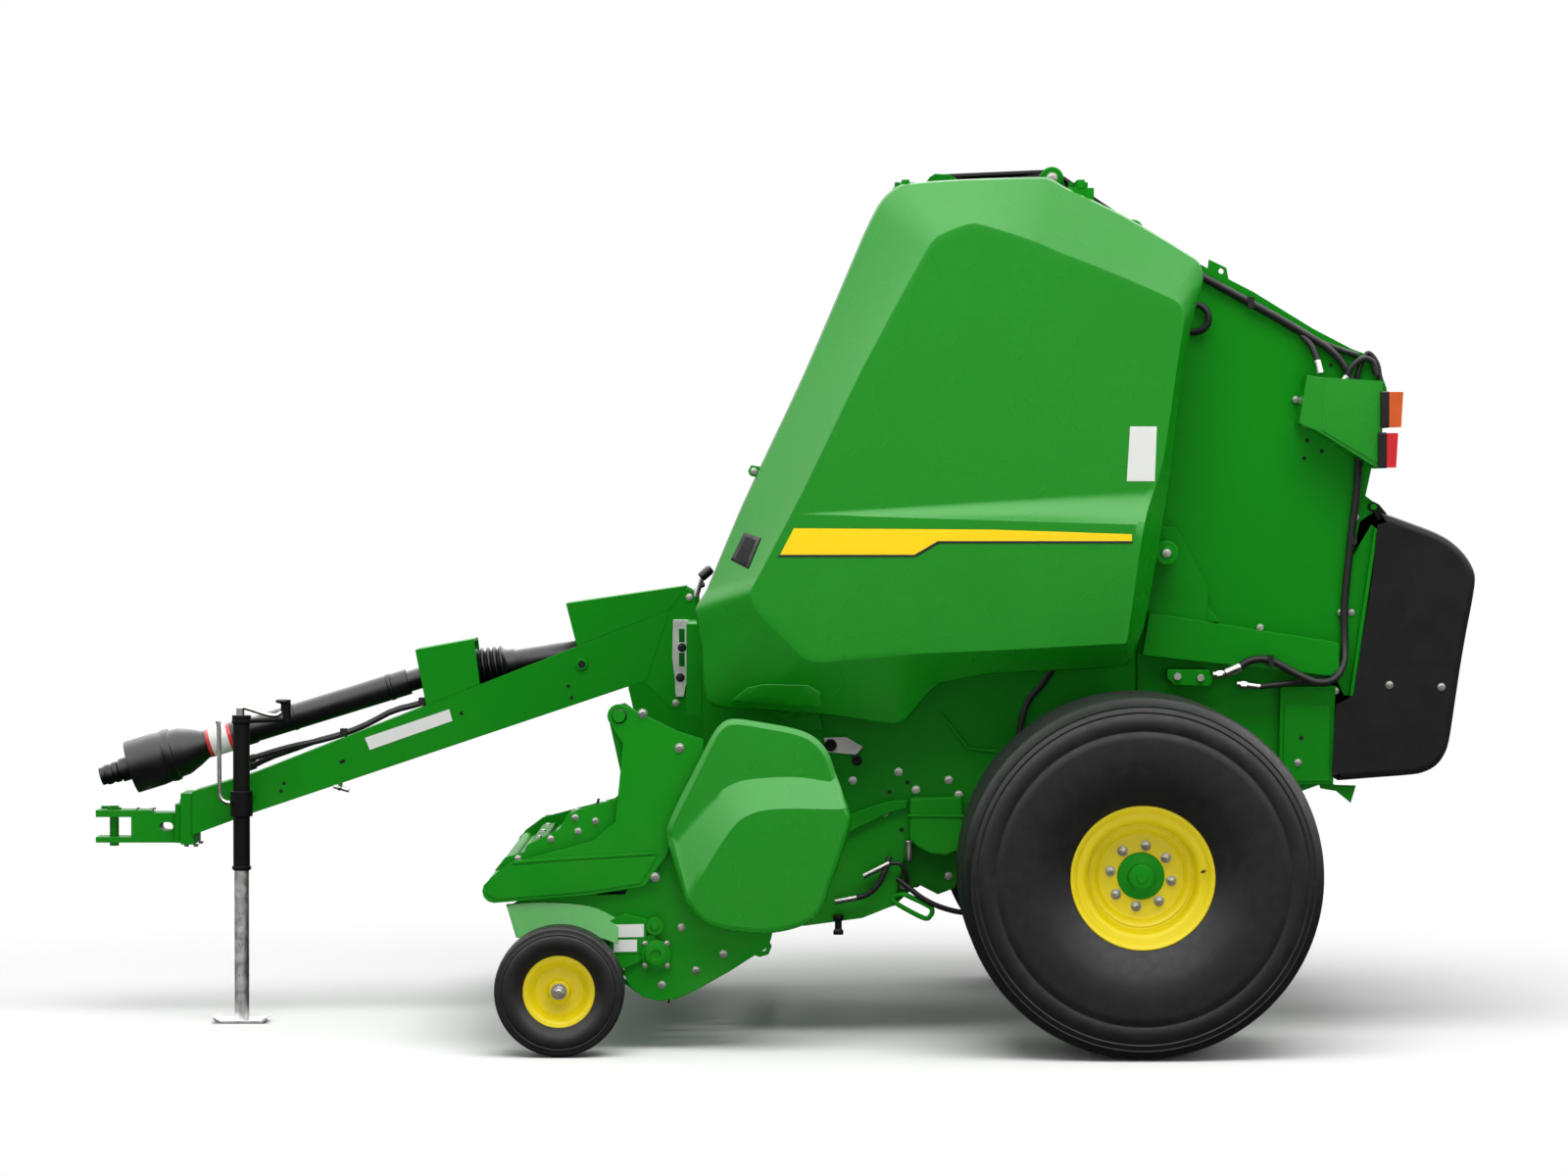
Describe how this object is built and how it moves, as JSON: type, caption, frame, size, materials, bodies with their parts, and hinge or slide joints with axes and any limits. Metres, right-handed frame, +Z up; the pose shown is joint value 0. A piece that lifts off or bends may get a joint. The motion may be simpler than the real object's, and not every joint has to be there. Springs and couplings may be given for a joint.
{
  "type": "round baler",
  "caption": "Trailed round baler with driveline, jack, wide pickup with gauge wheels, gull-wing side shields, lifting rear gate and net wrap cover.",
  "frame": {"origin": "on the ground under the middle of the machine's length and width", "axes": "+X towards the rear, +Y towards the machine's right side, +Z up"},
  "size_m": [4.389, 2.69, 2.7012],
  "materials": {
    "green_paint": "gloss",
    "dark_green_paint": "satin",
    "yellow_paint": "gloss",
    "bright_steel": "satin",
    "belt_rubber": "matte",
    "black_plastic": "satin",
    "black_paint": "satin",
    "chrome": "polished",
    "tyre_rubber": "matte",
    "amber_lens": "gloss",
    "red_lens": "gloss"
  },
  "bodies": {
    "frame": {"axle_beam": "green_paint", "front_frame": "green_paint", "left_front_wall": "green_paint", "right_front_wall": "green_paint", "left_drive_housing": "dark_green_paint", "right_drive_housing": "dark_green_paint", "left_drive_shield": "green_paint", "right_drive_shield": "green_paint", "front_belts": "belt_rubber", "tongue": "green_paint", "left_height_plate": "bright_steel", "right_height_plate": "bright_steel", "hitch_clevis": "green_paint", "hitch_pin": "green_paint", "driveline_support": "green_paint", "driveline_rear_guard": "black_plastic", "gearbox": "dark_green_paint", "gearbox_cover": "green_paint", "tongue_hoses": "belt_rubber"},
    "gate": {"left_gate_side": "green_paint", "right_gate_side": "green_paint", "gate_belts": "belt_rubber", "gate_top_cross": "green_paint", "gate_rear_cross": "green_paint", "gate_lower_cross": "green_paint", "left_lamp_bracket": "green_paint", "right_lamp_bracket": "green_paint", "left_turn_lamp": "amber_lens", "right_turn_lamp": "amber_lens", "left_tail_lamp": "red_lens", "right_tail_lamp": "red_lens", "gate_hose": "belt_rubber"},
    "net_cover": {"net_cover": "black_plastic"},
    "left_main_wheel": {"left_main_tyre": "tyre_rubber", "left_main_rim": "yellow_paint", "left_main_hub": "green_paint"},
    "left_ram_barrel": {"left_ram_barrel": "green_paint"},
    "left_ram_rod": {"left_ram_rod": "chrome"},
    "left_side_shield": {"left_side_shield": "green_paint"},
    "right_main_wheel": {"right_main_tyre": "tyre_rubber", "right_main_rim": "yellow_paint", "right_main_hub": "green_paint"},
    "right_ram_barrel": {"right_ram_barrel": "green_paint"},
    "right_ram_rod": {"right_ram_rod": "chrome"},
    "right_side_shield": {"right_side_shield": "green_paint"},
    "pickup": {"left_pickup_side": "green_paint", "right_pickup_side": "green_paint", "pickup_bands": "green_paint"},
    "pickup_reel": {"pickup_reel": "dark_green_paint"},
    "wind_guard": {"wind_guard": "green_paint"},
    "feed_rotor": {"feed_rotor": "dark_green_paint"},
    "left_gauge_wheel": {"left_gauge_tyre": "tyre_rubber", "left_gauge_rim": "yellow_paint"},
    "right_gauge_wheel": {"right_gauge_tyre": "tyre_rubber", "right_gauge_rim": "yellow_paint"},
    "jack": {"jack_tube": "black_paint"},
    "jack_leg": {"jack_leg": "bright_steel"},
    "driveline_inner": {"driveline_inner_guard": "black_plastic"},
    "driveline_front": {"driveline_bell_guard": "black_plastic"},
    "driveline_yoke": {"driveline_yoke": "black_paint"}
  },
  "joints": [
    {"name": "gate_open", "type": "hinge", "parent": "frame", "child": "gate", "pos_m": [1.2295, 0, 2.35], "axis": [0, -1, 0], "range_deg": [0, 60]},
    {"name": "left_wheel_spin", "type": "hinge", "parent": "frame", "child": "left_main_wheel", "pos_m": [1.1125, -1.075, 0.547], "axis": [0, 1, 0], "continuous": true},
    {"name": "left_ram_tilt", "type": "hinge", "parent": "frame", "child": "left_ram_barrel", "pos_m": [0.0375, -0.742, 1.036], "axis": [0, -1, 0], "range_deg": [0, 4]},
    {"name": "left_ram_slide", "type": "slide", "parent": "left_ram_barrel", "child": "left_ram_rod", "axis": [0.927, 0, 0.3752], "range_m": [0, 0.84]},
    {"name": "left_shield_open", "type": "hinge", "parent": "frame", "child": "left_side_shield", "pos_m": [0.6825, -0.654, 2.652], "axis": [-1, 0, 0], "range_deg": [0, 65]},
    {"name": "right_wheel_spin", "type": "hinge", "parent": "frame", "child": "right_main_wheel", "pos_m": [1.1125, 1.075, 0.547], "axis": [0, 1, 0], "continuous": true},
    {"name": "right_ram_tilt", "type": "hinge", "parent": "frame", "child": "right_ram_barrel", "pos_m": [0.0375, 0.742, 1.036], "axis": [0, -1, 0], "range_deg": [0, 4]},
    {"name": "right_ram_slide", "type": "slide", "parent": "right_ram_barrel", "child": "right_ram_rod", "axis": [0.927, 0, 0.3752], "range_m": [0, 0.84]},
    {"name": "right_shield_open", "type": "hinge", "parent": "frame", "child": "right_side_shield", "pos_m": [0.6825, 0.654, 2.652], "axis": [1, 0, 0], "range_deg": [0, 65]},
    {"name": "net_cover_open", "type": "hinge", "parent": "gate", "child": "net_cover", "pos_m": [1.8765, 0, 1.656], "axis": [0, -1, 0], "range_deg": [0, 70]},
    {"name": "pickup_lift", "type": "hinge", "parent": "frame", "child": "pickup", "pos_m": [0.0525, 0, 0.69], "axis": [0, 1, 0], "range_deg": [0, 22]},
    {"name": "reel_spin", "type": "hinge", "parent": "pickup", "child": "pickup_reel", "pos_m": [-0.3525, 0, 0.294], "axis": [0, 1, 0], "continuous": true},
    {"name": "rotor_spin", "type": "hinge", "parent": "frame", "child": "feed_rotor", "pos_m": [0.0525, 0, 0.69], "axis": [0, 1, 0], "continuous": true},
    {"name": "wind_guard_tip", "type": "hinge", "parent": "pickup", "child": "wind_guard", "pos_m": [-0.4645, 0, 1.022], "axis": [0, -1, 0], "range_deg": [-15, 0]},
    {"name": "left_gauge_spin", "type": "hinge", "parent": "pickup", "child": "left_gauge_wheel", "pos_m": [-0.6415, -1.15, 0.197], "axis": [0, 1, 0], "continuous": true},
    {"name": "right_gauge_spin", "type": "hinge", "parent": "pickup", "child": "right_gauge_wheel", "pos_m": [-0.6415, 1.15, 0.197], "axis": [0, 1, 0], "continuous": true},
    {"name": "jack_swivel", "type": "hinge", "parent": "frame", "child": "jack", "pos_m": [-1.7045, -0.205, 0.701], "axis": [0, -1, 0], "range_deg": [0, 90]},
    {"name": "jack_retract", "type": "slide", "parent": "jack", "child": "jack_leg", "axis": [0, 0, 1], "range_m": [0, 0.3]},
    {"name": "driveline_swing", "type": "hinge", "parent": "frame", "child": "driveline_inner", "pos_m": [-1.0775, 0, 1.117], "axis": [0, 1, 0], "range_deg": [0, 20]},
    {"name": "driveline_slide", "type": "slide", "parent": "driveline_inner", "child": "driveline_front", "axis": [-0.9554, 0, -0.2954], "range_m": [0, 0.25]},
    {"name": "yoke_spin", "type": "hinge", "parent": "driveline_front", "child": "driveline_yoke", "pos_m": [-2.0835, 0, 0.806], "axis": [-0.9554, 0, -0.2954], "continuous": true}
  ],
  "couplings": [
    {"joint": "left_ram_tilt", "follows": "gate_open", "ratio": 0.04966},
    {"joint": "left_ram_slide", "follows": "gate_open", "m_per_rad": 0.79224},
    {"joint": "right_ram_tilt", "follows": "gate_open", "ratio": 0.04966},
    {"joint": "right_ram_slide", "follows": "gate_open", "m_per_rad": 0.79224}
  ]
}
